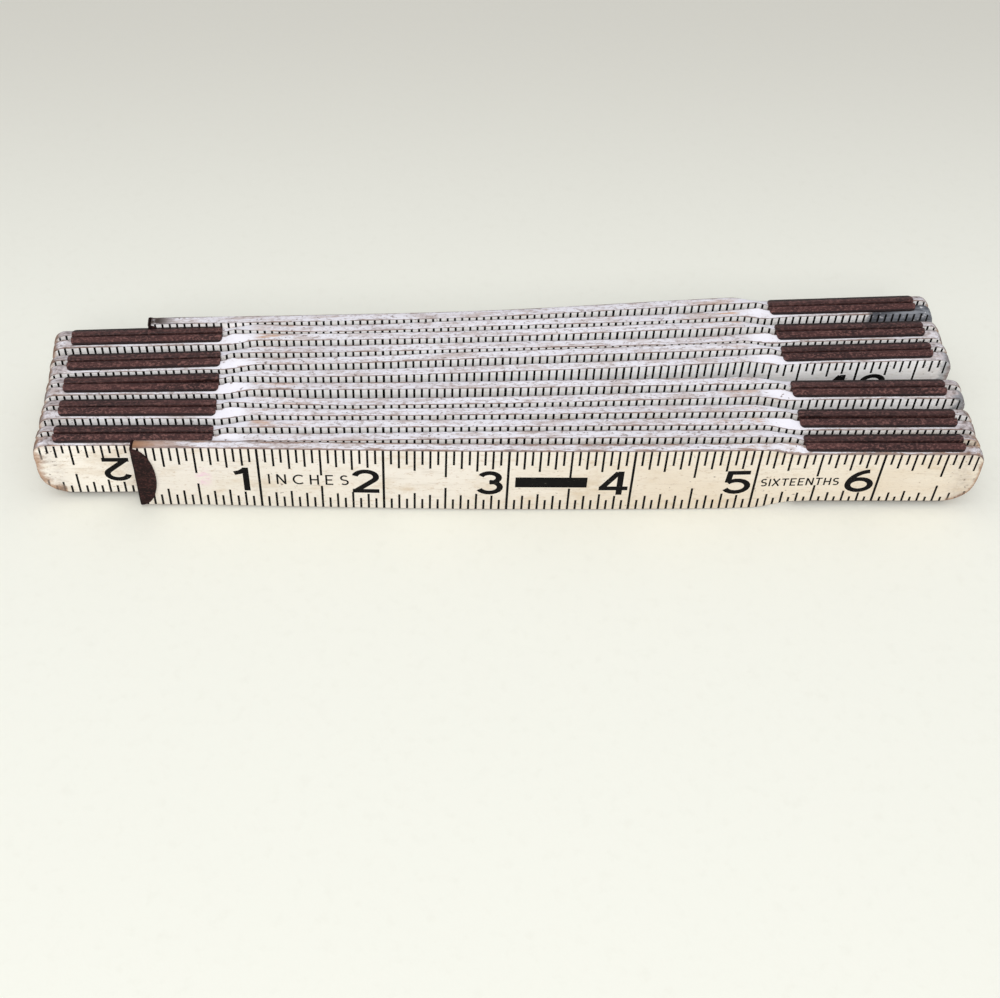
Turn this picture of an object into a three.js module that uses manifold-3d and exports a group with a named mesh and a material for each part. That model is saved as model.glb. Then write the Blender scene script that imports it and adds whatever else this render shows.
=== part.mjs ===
import * as THREE from 'three';
import { mergeVertices } from 'three/addons/utils/BufferGeometryUtils.js';
import Module from 'manifold-3d';

// A folding rule of twelve flat wooden sections, folded up and standing on its long edge.
// Millimetres, +Z up. X runs along the sections, Y goes through the stack from the first
// section to the last. The origin is at the centre of the footprint, on the ground.
//
// Each joint is two sheet-metal channels, back to back, each wrapped round the edges of one
// section, with a spring washer between them and a rivet through all three.

const INCH = 25.4;

// Wooden sections
const SECTION_COUNT = 12;
const PIVOT_SPACING = 6 * INCH;
const SECTION_WIDTH = 0.6875 * INCH;
const SECTION_THICKNESS = 2.2;
const END_OVERHANG = 0.8125 * INCH;
const UPPER_CORNER_RADIUS = 2.8;
const LOWER_CORNER_RADIUS = 6;
const JOINT_WIDTH = 0.5625 * INCH;

// The wood narrows towards each joint between these distances from the pivot
const TAPER_START = 25;
const TAPER_END = 16.5;
const TAPER_STEPS = 6;
const CORNER_STEPS = 3;

// How far each section is turned away from the X axis, as the stack fans out
const FAN_DEGREES = [-0.18, 0.15, 0.1, 0.02, 0.62, 0.63, 2.1, 2.18, 2.1, 1.83, 2.25, 2.6];

// The first section is swung up a little about its pivot, so that its free end is raised
const FIRST_SECTION_LIFT_DEGREES = 0.2;

// Joint plates
const SHEET = 0.4;
const FIT_GAP = 0.05;
const PLATE_LENGTH = 32.4;
const PLATE_EDGE_STRIP = 0.55;
const PLATE_BEND_RADIUS = 0.4;
const FLANGE_CORNER_RADIUS = 0.9;
const PLATE_HALF_HEIGHT = JOINT_WIDTH / 2 + FIT_GAP + SHEET;
const FLANGE_DEPTH = SECTION_THICKNESS + FIT_GAP - PLATE_EDGE_STRIP;

// Space between the two plates of a joint. The third and sixth joints are worn and looser.
const JOINT_PLAY = 0.4;
const LOOSE_JOINT_PLAY = { 3: 0.7, 6: 0.6 };

// Rivets and washers
const RIVET_RADIUS = 1.6;
const RIVET_BORE_RADIUS = 1.7;
const RIVET_HEAD_RADIUS = 2.6;
const RIVET_HEAD_HEIGHT = 0.5;
const RIVET_HEAD_GAP = 0.1;
const RECESS_RADIUS = 3.1;
const RECESS_DEPTH = 0.8;
const WASHER_INNER_RADIUS = 1.8;
const WASHER_OUTER_RADIUS = 4.2;
const WASHER_THICKNESS = 0.2;
const ROUND_STEPS = 16;

// End caps
const CAP_SHEET = 0.3;
const CAP_HEIGHT = 16.8;
const CAP_REACH = 4.3;
const CAP_STEPS = 8;

// Extra length given to a cutting solid so that it passes clean through a face
const CUT_MARGIN = 1;

// Vertices closer together than this are one vertex
const MERGE_DISTANCE = 1e-5;

const MATERIALS = {
  wood: { color: 0xdcd4bd, roughness: 0.62, metalness: 0 },
  plate: { color: 0x3a221b, roughness: 0.45, metalness: 0.8 },
  rivet: { color: 0x6a5230, roughness: 0.4, metalness: 0.9 },
  washer: { color: 0x8a857c, roughness: 0.35, metalness: 0.95 },
  cap: { color: 0x3b2620, roughness: 0.5, metalness: 0.8 },
};

const wasm = await Module();
wasm.setup();

function toSolid(geometry) {
  const bare = geometry.clone();
  bare.deleteAttribute('normal');
  bare.deleteAttribute('uv');
  const merged = mergeVertices(bare, MERGE_DISTANCE);
  const vertProperties = new Float32Array(merged.attributes.position.array);
  const triVerts = new Uint32Array(merged.index.array);
  return new wasm.Manifold(new wasm.Mesh({ numProp: 3, vertProperties, triVerts }));
}

function toGeometry(solid) {
  const mesh = solid.getMesh();
  const geometry = new THREE.BufferGeometry();
  geometry.setAttribute('position', new THREE.BufferAttribute(mesh.vertProperties, 3));
  geometry.setIndex(new THREE.BufferAttribute(mesh.triVerts, 1));
  geometry.computeVertexNormals();
  return geometry;
}

function makeMesh(name, geometry, kind) {
  const mesh = new THREE.Mesh(geometry, new THREE.MeshStandardMaterial(MATERIALS[kind]));
  mesh.name = name;
  return mesh;
}

// Extrudes an outline drawn in X and Z through Y, from yLow to yHigh.
function extrudeThroughY(points, yLow, yHigh) {
  const depth = yHigh - yLow;
  const geometry = new THREE.ExtrudeGeometry(new THREE.Shape(points), { depth, bevelEnabled: false });
  geometry.rotateX(Math.PI / 2);
  geometry.translate(0, yHigh, 0);
  return geometry;
}

// Points of a circular arc, both ends included.
function arc(centreX, centreY, radius, startAngle, endAngle, steps) {
  const points = [];
  for (let i = 0; i <= steps; i += 1) {
    const angle = startAngle + ((endAngle - startAngle) * i) / steps;
    points.push(new THREE.Vector2(centreX + radius * Math.cos(angle), centreY + radius * Math.sin(angle)));
  }
  return points;
}

// One long edge of a section's jointed end, from the tip towards the middle, as if its pivot
// were at 0 and its tip pointed to -X. Heights are from the section's middle line outwards.
function jointedEndEdge(corner) {
  const half = JOINT_WIDTH / 2;
  const tip = -END_OVERHANG;
  const points = arc(tip + corner, half - corner, corner, Math.PI, Math.PI / 2, CORNER_STEPS);
  for (let i = 0; i <= TAPER_STEPS; i += 1) {
    const t = i / TAPER_STEPS;
    const ease = t * t * (3 - 2 * t);
    const x = TAPER_END + (TAPER_START - TAPER_END) * t;
    points.push(new THREE.Vector2(x, half + (SECTION_WIDTH / 2 - half) * ease));
  }
  return points;
}

// One long edge of a section's free end, which is square and carries a cap.
function freeEndEdge() {
  return [new THREE.Vector2(CAP_SHEET + FIT_GAP, SECTION_WIDTH / 2)];
}

// Outline of a section in X and Z. Its left pivot is at 0, its right one at PIVOT_SPACING.
function sectionOutline(leftIsJointed, rightIsJointed) {
  const edge = (corner) => {
    const left = leftIsJointed ? jointedEndEdge(corner) : freeEndEdge();
    const right = rightIsJointed ? jointedEndEdge(corner) : freeEndEdge();
    const rightFlipped = right.map((p) => new THREE.Vector2(PIVOT_SPACING - p.x, p.y)).reverse();
    return left.concat(rightFlipped);
  };
  const upper = edge(UPPER_CORNER_RADIUS);
  const lower = edge(LOWER_CORNER_RADIUS).map((p) => new THREE.Vector2(p.x, -p.y)).reverse();
  return upper.concat(lower).reverse();
}

// A disc that cuts a rivet-head recess into one face of a section.
function recessCutter(x, isBackFace) {
  const cutter = new THREE.CylinderGeometry(
    RECESS_RADIUS,
    RECESS_RADIUS,
    RECESS_DEPTH + CUT_MARGIN,
    ROUND_STEPS,
  );
  const inward = (RECESS_DEPTH - CUT_MARGIN) / 2;
  cutter.translate(x, isBackFace ? SECTION_THICKNESS - inward : inward, 0);
  return toSolid(cutter);
}

// Odd sections run left to right and hand over to the next at their right end; even
// sections run back. A section meets the one before it with its front face and the one
// after it with its back face.
function startPivotX(number) {
  return number % 2 === 1 ? 0 : PIVOT_SPACING;
}

function endPivotX(number) {
  return PIVOT_SPACING - startPivotX(number);
}

function makeSection(number) {
  const hasStart = number > 1;
  const hasEnd = number < SECTION_COUNT;
  const isOdd = number % 2 === 1;
  const outline = sectionOutline(isOdd ? hasStart : hasEnd, isOdd ? hasEnd : hasStart);
  let solid = toSolid(extrudeThroughY(outline, 0, SECTION_THICKNESS));
  if (hasStart) {
    solid = solid.subtract(recessCutter(startPivotX(number), false));
  }
  if (hasEnd) {
    solid = solid.subtract(recessCutter(endPivotX(number), true));
  }
  return toGeometry(solid);
}

// The channel's cross-section in Y and Z. The web lies behind the wood, from Y = 0 to
// SHEET, and the flanges reach forward.
function channelProfile() {
  const top = PLATE_HALF_HEIGHT;
  const bend = PLATE_BEND_RADIUS;
  const outer = arc(SHEET - bend, top - bend, bend, Math.PI / 2, 0, CORNER_STEPS);
  const inner = [new THREE.Vector2(0, top - SHEET), new THREE.Vector2(-FLANGE_DEPTH, top - SHEET)];
  const lip = [new THREE.Vector2(-FLANGE_DEPTH, top)];
  const upperOutside = lip.concat(outer);
  const lowerOutside = upperOutside.map((p) => new THREE.Vector2(p.x, -p.y)).reverse();
  const lowerInside = inner.map((p) => new THREE.Vector2(p.x, -p.y)).reverse();
  return upperOutside.concat(lowerOutside, lowerInside, inner);
}

// A joint plate with its pivot on the Y axis and its web's inner face at Y = 0.
function makePlate() {
  const profile = new THREE.Shape(channelProfile());
  const channel = new THREE.ExtrudeGeometry(profile, { depth: PLATE_LENGTH, bevelEnabled: false });
  channel.translate(0, 0, -PLATE_LENGTH / 2);
  const axes = new THREE.Matrix4().makeBasis(
    new THREE.Vector3(0, 1, 0),
    new THREE.Vector3(0, 0, 1),
    new THREE.Vector3(1, 0, 0),
  );
  channel.applyMatrix4(axes);

  const end = PLATE_LENGTH / 2;
  const corner = FLANGE_CORNER_RADIUS;
  const lipY = -FLANGE_DEPTH;
  const plan = [new THREE.Vector2(end, SHEET + CUT_MARGIN), new THREE.Vector2(-end, SHEET + CUT_MARGIN)];
  plan.push(...arc(-end + corner, lipY + corner, corner, Math.PI, 1.5 * Math.PI, CORNER_STEPS));
  plan.push(...arc(end - corner, lipY + corner, corner, 1.5 * Math.PI, 2 * Math.PI, CORNER_STEPS));
  const height = 2 * (PLATE_HALF_HEIGHT + CUT_MARGIN);
  const trim = new THREE.ExtrudeGeometry(new THREE.Shape(plan), { depth: height, bevelEnabled: false });
  trim.translate(0, 0, -height / 2);

  const boreLength = SHEET + 2 * CUT_MARGIN;
  const bore = new THREE.CylinderGeometry(RIVET_BORE_RADIUS, RIVET_BORE_RADIUS, boreLength, ROUND_STEPS);
  bore.translate(0, SHEET / 2, 0);
  return toGeometry(toSolid(channel).intersect(toSolid(trim)).subtract(toSolid(bore)));
}

// Turns a closed profile of [radius, y] pairs round the Y axis.
function turn(pairs) {
  const points = pairs.map(([radius, y]) => new THREE.Vector2(radius, y));
  return toGeometry(toSolid(new THREE.LatheGeometry(points, ROUND_STEPS)));
}

function makeRivet(play) {
  const shank = play / 2 + SHEET + RIVET_HEAD_GAP;
  const tip = shank + RIVET_HEAD_HEIGHT;
  const half = [
    [RIVET_RADIUS, shank],
    [RIVET_HEAD_RADIUS, shank],
    [RIVET_HEAD_RADIUS, tip],
    [0, tip],
  ];
  const otherHalf = half.map(([radius, y]) => [radius, -y]).reverse();
  return turn(otherHalf.concat(half));
}

function makeWasher() {
  const half = WASHER_THICKNESS / 2;
  return turn([
    [WASHER_INNER_RADIUS, -half],
    [WASHER_OUTER_RADIUS, -half],
    [WASHER_OUTER_RADIUS, half],
    [WASHER_INNER_RADIUS, half],
    [WASHER_INNER_RADIUS, -half],
  ]);
}

// A D-shaped clip over the square end of the wood: a round-nosed flap on each face,
// joined by a strip across the end grain.
function makeCap() {
  const halfHeight = CAP_HEIGHT / 2;
  const outline = [];
  for (let i = 0; i <= CAP_STEPS; i += 1) {
    const angle = -Math.PI / 2 + (Math.PI * i) / CAP_STEPS;
    const x = CAP_SHEET + (CAP_REACH - CAP_SHEET) * Math.cos(angle);
    outline.push(new THREE.Vector2(x, halfHeight * Math.sin(angle)));
  }
  outline.push(new THREE.Vector2(0, halfHeight), new THREE.Vector2(0, -halfHeight));
  const skin = FIT_GAP + CAP_SHEET;
  const body = extrudeThroughY(outline, -skin, SECTION_THICKNESS + skin);
  const slot = new THREE.BoxGeometry(
    CAP_REACH,
    SECTION_THICKNESS + 2 * FIT_GAP,
    SECTION_WIDTH + 2 * CUT_MARGIN,
  );
  slot.translate(CAP_SHEET + CAP_REACH / 2, SECTION_THICKNESS / 2, 0);
  return toGeometry(toSolid(body).subtract(toSolid(slot)));
}

function jointPlay(joint) {
  return LOOSE_JOINT_PLAY[joint] ?? JOINT_PLAY;
}

// Distance from a section's face to the mid-plane of the joint on that face.
function jointOffset(joint) {
  return FIT_GAP + SHEET + jointPlay(joint) / 2;
}

function twoDigits(number) {
  return String(number).padStart(2, '0');
}

function fanAngle(number) {
  return THREE.MathUtils.degToRad(FAN_DEGREES[number - 1]);
}

function onSection(group, x, y) {
  return new THREE.Vector3(x, y, 0).applyEuler(group.rotation).add(group.position);
}

function addPlates(group, number, plateGeometry) {
  if (number < SECTION_COUNT) {
    const plate = makeMesh(`plate_back_${twoDigits(number)}`, plateGeometry, 'plate');
    plate.position.set(endPivotX(number), SECTION_THICKNESS + FIT_GAP, 0);
    group.add(plate);
  }
  if (number > 1) {
    const plate = makeMesh(`plate_front_${twoDigits(number)}`, plateGeometry, 'plate');
    plate.position.set(startPivotX(number), -FIT_GAP, 0);
    plate.rotation.z = Math.PI;
    group.add(plate);
  }
}

// A group inside the first section's own that is turned about the section's pivot.
function liftedGroup(parent) {
  const lift = THREE.MathUtils.degToRad(FIRST_SECTION_LIFT_DEGREES);
  const pivotX = endPivotX(1);
  const lifted = new THREE.Group();
  lifted.rotation.y = lift;
  lifted.position.set(pivotX * (1 - Math.cos(lift)), 0, pivotX * Math.sin(lift));
  parent.add(lifted);
  return lifted;
}

function addPivot(rule, joint, centre) {
  const group = new THREE.Group();
  group.position.copy(centre);
  group.rotation.z = (fanAngle(joint) + fanAngle(joint + 1)) / 2;
  group.add(makeMesh(`rivet_${twoDigits(joint)}`, makeRivet(jointPlay(joint)), 'rivet'));
  group.add(makeMesh(`washer_${twoDigits(joint)}`, makeWasher(), 'washer'));
  rule.add(group);
}

function buildRule() {
  const rule = new THREE.Group();
  const plateGeometry = makePlate();
  const capGeometry = makeCap();
  let jointCentre = null;
  for (let number = 1; number <= SECTION_COUNT; number += 1) {
    const group = new THREE.Group();
    group.rotation.z = fanAngle(number);
    if (jointCentre === null) {
      group.position.set(0, 0, SECTION_WIDTH / 2);
    } else {
      const reach = onSection(group, startPivotX(number), -jointOffset(number - 1));
      group.position.copy(jointCentre).sub(reach);
    }
    const holder = number === 1 ? liftedGroup(group) : group;
    holder.add(makeMesh(`section_${twoDigits(number)}`, makeSection(number), 'wood'));
    addPlates(holder, number, plateGeometry);
    if (number === 1 || number === SECTION_COUNT) {
      const name = number === 1 ? 'cap_first' : 'cap_last';
      holder.add(makeMesh(name, capGeometry, 'cap'));
    }
    rule.add(group);
    if (number < SECTION_COUNT) {
      jointCentre = onSection(group, endPivotX(number), SECTION_THICKNESS + jointOffset(number));
      addPivot(rule, number, jointCentre);
    }
  }
  const box = new THREE.Box3().setFromObject(rule, true);
  const centre = box.getCenter(new THREE.Vector3());
  rule.position.set(-centre.x, -centre.y, -box.min.z);
  return rule;
}

export default buildRule();
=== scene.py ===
"""A folding rule of twelve painted wooden sections, folded up and standing on its long edge.

Meshes are made in millimetres, in the local frame of the section that they belong to: X runs
along it from its left pivot, Y goes through it from its front face, Z is up from its middle.
"""

import math

import bpy
import bmesh
from mathutils import Matrix, Vector, noise
from mathutils.geometry import delaunay_2d_cdt


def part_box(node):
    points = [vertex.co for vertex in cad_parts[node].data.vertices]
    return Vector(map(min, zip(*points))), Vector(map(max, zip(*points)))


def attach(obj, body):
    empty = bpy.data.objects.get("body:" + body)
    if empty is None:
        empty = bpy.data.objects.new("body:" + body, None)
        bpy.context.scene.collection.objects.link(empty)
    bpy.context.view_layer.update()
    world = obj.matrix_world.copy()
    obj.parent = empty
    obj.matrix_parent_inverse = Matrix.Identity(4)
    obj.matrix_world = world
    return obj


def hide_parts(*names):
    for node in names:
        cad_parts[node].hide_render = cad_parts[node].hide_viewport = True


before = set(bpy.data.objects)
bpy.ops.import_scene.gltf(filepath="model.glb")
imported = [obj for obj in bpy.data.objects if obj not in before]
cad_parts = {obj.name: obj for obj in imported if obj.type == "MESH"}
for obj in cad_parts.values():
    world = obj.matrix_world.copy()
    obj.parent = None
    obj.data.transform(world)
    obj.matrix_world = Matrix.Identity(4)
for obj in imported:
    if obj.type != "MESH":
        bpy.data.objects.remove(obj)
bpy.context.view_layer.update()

MM = 0.001
INCH = 25.4

# Wooden sections, as in the CAD
SECTION_COUNT = 12
PIVOT_SPACING = 6 * INCH
SECTION_WIDTH = 0.6875 * INCH
SECTION_THICKNESS = 2.2
END_OVERHANG = 0.8125 * INCH
JOINT_WIDTH = 0.5625 * INCH
TAPER_START = 25
TAPER_END = 16.5
FIRST_SECTION_LIFT_DEGREES = 0.2
RECESS_RADIUS = 3.1
RECESS_DEPTH = 0.8

# Joint hardware, as in the CAD
SHEET = 0.4
FIT_GAP = 0.05
PLATE_LENGTH = 32.4
FLANGE_REACH = 1.7
USUAL_PLAY = 0.4
LOOSE_PLAY = {3: 0.7, 6: 0.6}
RIVET_BORE = 1.7
CAP_SHEET = 0.3
CAP_HEIGHT = 16.8
CAP_REACH = 4.3

# The slope at a joint: a plate is highest at its web, its flanges drop towards their lips, and past
# the plate the wood on the joint's side rises to its full width within a short distance
PLATE_HALF_HEIGHT = 8.15
FLANGE_DROP = 0.42
PAST_PLATE = 2.6

# How far each section has warped towards the front at three places along it. Outside WARP_ENDS it
# is straight, but a free left end may be out by END_BEND.
WARP_PLACES = (36, 74, 117)
WARP_ENDS = (12, PIVOT_SPACING - 12)
WARP = [
    (0.5, 1.0, 0.75),
    (0.5, 0.05, 0.0),
    (0.2, 0.2, 0.0),
    (0.9, 0.65, 0.1),
    (1.65, 1.75, 0.8),
    (0.65, 0.7, 0.35),
    (1.5, 1.5, 0.95),
    (0.95, 0.65, 0.3),
    (0.85, 1.1, 1.3),
    (1.05, 1.25, 0.4),
    (2.2, 2.0, 1.7),
    (1.65, 2.0, 0.6),
]
END_BEND = {12: 0.8}
FIRST_SECTION_LEAN = 0.02

# Rounding and roughness of the wood
UPPER_CORNER = 2.8
LOWER_CORNER = 6.0
SQUARE_CORNER = 0.6
ARRIS = 0.13
CROWN = 0.04
WORN_BAND = 0.22
LEAST_STATION_GAP = 0.1
TIP_STEPS = 7
TIP_SIDE_STEPS = 5
RECESS_STEPS = 24
ROUGHNESS = 0.03
TIP_ROUGHNESS = 0.12
TIP_ROUGH_REACH = 6

# The print: lengths of the marks from the full width, by sixteenths. Where the wood narrows, they
# end lower by a share of the narrowing.
SIXTEENTH = INCH / 16
PRINT_MARGIN = 1.2
MARK_WIDTH = 0.46
SHORTEST_MARK = 0.4
MARK_DROP = 0.15
INCH_LINE_WIDTH = 0.52
UPPER_MARKS = {8: 7.2, 4: 5.4, 2: 4.7, 1: 3.6}
LOWER_MARKS = {8: 7.1, 4: 5.4, 2: 4.9, 1: 3.6}
DIGIT_HEIGHT = 7.0
DIGIT_STROKE = 1.15
DIGIT_WIDENING = 1.1
SINGLE_DIGIT = -3.65
TWO_DIGITS = (-4.0, 4.1)
LETTER_HEIGHT = 3.0
LETTER_STROKE = 0.4

# Words on the first face, with their start and width in inches, the height of their middle and their
# size, and the bar between 3 and 4, with its ends in inches and its heights
WORDS = [("INCHES", 1.07, 0.65, 0.2, 1.0), ("SIXTEENTHS", 5.05, 0.64, -0.25, 0.75)]
BAR_ENDS = (3.06, 3.64)
BAR_HEIGHTS = (-1.3, 1.7)

# Height of each face's print above its proper place, at its left pivot and at its right one
FIRST_PRINT_SHIFT = (-0.3, -0.8)
PRINT_WANDER = 0.25


# -------- lettering


def arc(cx, cy, rx, ry, start, end, steps=14):
    """Points along part of an ellipse, angles in degrees."""
    points = []
    for i in range(steps + 1):
        a = math.radians(start + (end - start) * i / steps)
        points.append((cx + rx * math.cos(a), cy + ry * math.sin(a)))
    return points


def ring(cx, cy, rx, ry):
    """A closed loop: its first point comes again at the end."""
    return arc(cx, cy, rx, ry, 90, 450, 28)


# Centre lines of the digits, 7 high with a stroke of 1.15, and each one's width
DIGITS = {
    "0": (5.3, [ring(2.65, 3.5, 2.08, 2.93)]),
    "1": (2.9, [[(2.32, 7), (2.32, 0)], [(0.2, 5.25), (1.3, 5.6), (2.4, 6.6)]]),
    "2": (5.2, [arc(2.55, 4.83, 1.98, 1.6, 172, -42) + [(0.75, 0.62)], [(0.1, 0.57), (5.1, 0.57)]]),
    "3": (5.0, [arc(2.4, 5.0, 1.72, 1.43, 160, -90), arc(2.4, 2.2, 2.0, 1.63, 90, -158)]),
    "4": (5.6, [[(3.5, 6.7), (0.62, 2.05)], [(0.1, 1.95), (5.5, 1.95)], [(3.95, 7), (3.95, 0)]]),
    "5": (5.3, [[(4.8, 6.42), (1.05, 6.42), (0.85, 3.5)], arc(2.55, 2.35, 2.15, 1.78, 142, -155)]),
    "6": (5.4, [ring(2.7, 2.3, 2.1, 1.73), arc(4.6, 2.4, 4.0, 4.05, 180, 98)]),
    "7": (5.0, [[(0.1, 6.42), (4.75, 6.42), (1.9, 0)]]),
    "8": (5.3, [ring(2.65, 5.1, 1.7, 1.33), ring(2.65, 2.2, 2.05, 1.63)]),
    "9": (5.4, [ring(2.7, 4.7, 2.1, 1.73), arc(0.8, 4.6, 4.0, 4.05, 0, -82)]),
}

# Centre lines of the small capitals, 3 high
LETTERS = {
    "I": (0.4, [[(0.2, 0), (0.2, 3)]]),
    "N": (2.0, [[(0.2, 0), (0.2, 3)], [(0.2, 2.9), (1.8, 0.1)], [(1.8, 0), (1.8, 3)]]),
    "C": (2.2, [arc(1.35, 1.5, 1.15, 1.3, 48, 312)]),
    "H": (1.9, [[(0.2, 0), (0.2, 3)], [(0.2, 1.5), (1.7, 1.5)], [(1.7, 0), (1.7, 3)]]),
    "E": (1.7, [[(1.6, 0.2), (0.2, 0.2), (0.2, 2.8), (1.6, 2.8)], [(0.2, 1.5), (1.4, 1.5)]]),
    "S": (1.8, [arc(0.9, 2.15, 0.68, 0.65, 40, 270) + arc(0.9, 0.85, 0.7, 0.65, 90, -140)]),
    "X": (2.0, [[(0.1, 0), (1.9, 3)], [(0.1, 3), (1.9, 0)]]),
    "T": (1.9, [[(0.95, 0), (0.95, 3)], [(0, 2.8), (1.9, 2.8)]]),
}


def stroke_quads(line, width):
    """Four-cornered pieces that together make a stroke of even width along a line."""
    points = [Vector(line[0])]
    points += [Vector(p) for p, before in zip(line[1:], line) if math.dist(p, before) > 1e-3]
    closed = (points[0] - points[-1]).length < 1e-6
    count = len(points)
    offsets = []
    for i, p in enumerate(points):
        before = points[i - 1] if i else (points[-2] if closed else None)
        after = points[i + 1] if i < count - 1 else (points[1] if closed else None)
        sides = []
        if before is not None:
            sides.append((p - before).normalized())
        if after is not None:
            sides.append((after - p).normalized())
        normals = [Vector((-d.y, d.x)) for d in sides]
        mitre = sum(normals, Vector((0, 0))).normalized()
        stretch = max(0.5, mitre.dot(normals[0]))
        offsets.append(mitre * (width / 2 / stretch))
    quads = []
    for i in range(count - 1):
        a, b = points[i], points[i + 1]
        quads.append([a + offsets[i], a - offsets[i], b - offsets[i + 1], b + offsets[i + 1]])
    return quads


def text_quads(text, table, stroke, spacing):
    """The strokes of a word from its left end at the base line, and its width."""
    quads, x = [], 0
    for character in text:
        width, lines = table[character]
        for line in lines:
            for quad in stroke_quads(line, stroke):
                quads.append([Vector((p.x + x, p.y)) for p in quad])
        x += width + spacing
    return quads, x - spacing


def word_polygons(text, start, width, middle, size):
    """Small capitals spread over a width, centred on a height."""
    stroke = LETTER_STROKE / math.sqrt(size)
    _, natural = text_quads(text, LETTERS, stroke, 0)
    spacing = (width / size - natural) / (len(text) - 1)
    quads, _ = text_quads(text, LETTERS, stroke, spacing)
    shift = Vector((start, middle - LETTER_HEIGHT * size / 2))
    return [[p * size + shift for p in quad] for quad in quads]


def number_polygons(number):
    """A numeral for the inch line at 0, reading along +X: one digit stands before the line, two stand
    on either side of it."""
    digits = str(number)
    centres = [SINGLE_DIGIT] if len(digits) == 1 else TWO_DIGITS
    polygons = []
    for digit, centre in zip(digits, centres):
        quads, width = text_quads(digit, DIGITS, DIGIT_STROKE, 0)
        left = centre - width / 2 * DIGIT_WIDENING
        for quad in quads:
            points = [(left + p.x * DIGIT_WIDENING, p.y - DIGIT_HEIGHT / 2) for p in quad]
            polygons.append([Vector(p) for p in points])
    return polygons


# -------- meshes


def counter_clockwise(polygon):
    area = 0
    for i, p in enumerate(polygon):
        q = polygon[i - 1]
        area += q[0] * p[1] - p[0] * q[1]
    return list(polygon) if area > 0 else list(reversed(polygon))


def cut_flat(outline, printed=(), holes=(), creases=()):
    """Cuts a flat outline into triangles along printed shapes, holes and crease lines. Returns the
    points, the triangles and, for each triangle, whether it lies in a printed shape."""
    points, faces, edges = [], [], []
    for polygon in [outline, *printed, *holes]:
        start = len(points)
        ordered = counter_clockwise(polygon)
        points += [Vector((p[0], p[1])) for p in ordered]
        faces.append(list(range(start, start + len(ordered))))
    for line in creases:
        start = len(points)
        points += [Vector((p[0], p[1])) for p in line]
        edges += [(i, i + 1) for i in range(start, start + len(line) - 1)]
    made = delaunay_2d_cdt(points, edges, faces, 0, 1e-5, True)
    first_hole = 1 + len(printed)
    triangles, inked = [], []
    for triangle, origins in zip(made[2], made[5]):
        if 0 not in origins or any(i >= first_hole for i in origins):
            continue
        triangles.append(list(triangle))
        inked.append(any(i > 0 for i in origins))
    return made[0], triangles, inked


# Welding distances, and the angles above which an edge is sharp
WELD = 0.0005
SHEET_WELD = 0.0002
WOOD_SHARP_DEGREES = 50
METAL_SHARP_DEGREES = 40


class Shape:
    """Gathers a mesh, with a few values on its points and faces for the materials to use."""

    def __init__(self):
        self.points = []
        self.faces = []
        self.ink = []
        self.values = {"edge": [], "worn": [], "end": []}

    def point(self, x, y, z, edge=0.0, worn=0.0, end=0.0):
        self.points.append((x, y, z))
        for label, value in (("edge", edge), ("worn", worn), ("end", end)):
            self.values[label].append(value)
        return len(self.points) - 1

    def face(self, corners, ink=0.0):
        self.faces.append(corners)
        self.ink.append(ink)

    def grid(self, rows, closed=False):
        """Joins rows of point numbers with four-cornered faces."""
        for low, high in zip(rows, rows[1:]):
            count = len(low)
            for i in range(count if closed else count - 1):
                j = (i + 1) % count
                self.face([low[i], low[j], high[j], high[i]])


def make_mesh(shape, name, weld, sharp_degrees):
    """A closed mesh in metres, welded, with its normals outwards."""
    mesh = bpy.data.meshes.new(name)
    mesh.from_pydata([Vector(p) * MM for p in shape.points], [], shape.faces)
    for label, values in shape.values.items():
        mesh.attributes.new(label, "FLOAT", "POINT").data.foreach_set("value", values)
    mesh.attributes.new("ink", "FLOAT", "FACE").data.foreach_set("value", shape.ink)
    bm = bmesh.new()
    bm.from_mesh(mesh)
    bmesh.ops.remove_doubles(bm, verts=bm.verts, dist=weld * MM)
    bmesh.ops.dissolve_degenerate(bm, edges=bm.edges, dist=weld * MM)
    bmesh.ops.recalc_face_normals(bm, faces=bm.faces)
    bm.to_mesh(mesh)
    bm.free()
    for polygon in mesh.polygons:
        polygon.use_smooth = True
    mesh.set_sharp_from_angle(angle=math.radians(sharp_degrees))
    return mesh


def new_object(name, data):
    made = bpy.data.objects.new(name, data)
    bpy.context.scene.collection.objects.link(made)
    return made


def add_piece(name, mesh, place, body, node, material):
    """Puts a finished mesh in the frame, in place of a CAD node."""
    piece = new_object(name, mesh)
    mesh.materials.append(material)
    piece.matrix_world = place
    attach(piece, body)
    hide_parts(node)


def wander(x, y, z, size, seed):
    """Smooth noise from about -1 to 1, for a point in millimetres and a feature size."""
    return noise.noise(Vector((x / size + seed * 7.31, y / size - seed * 3.17, z / size + seed * 1.93)))


# -------- places


def is_free_ended(number):
    """Sections 1 and 12 end square at their left pivot's place, in a cap."""
    return number in (1, SECTION_COUNT)


def start_pivot(number):
    return 0 if number % 2 else PIVOT_SPACING


def end_pivot(number):
    return PIVOT_SPACING - start_pivot(number)


def joint_centre(joint):
    low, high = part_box(f"rivet_{joint:02d}")
    return (Vector(low) + Vector(high)) / 2


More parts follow.
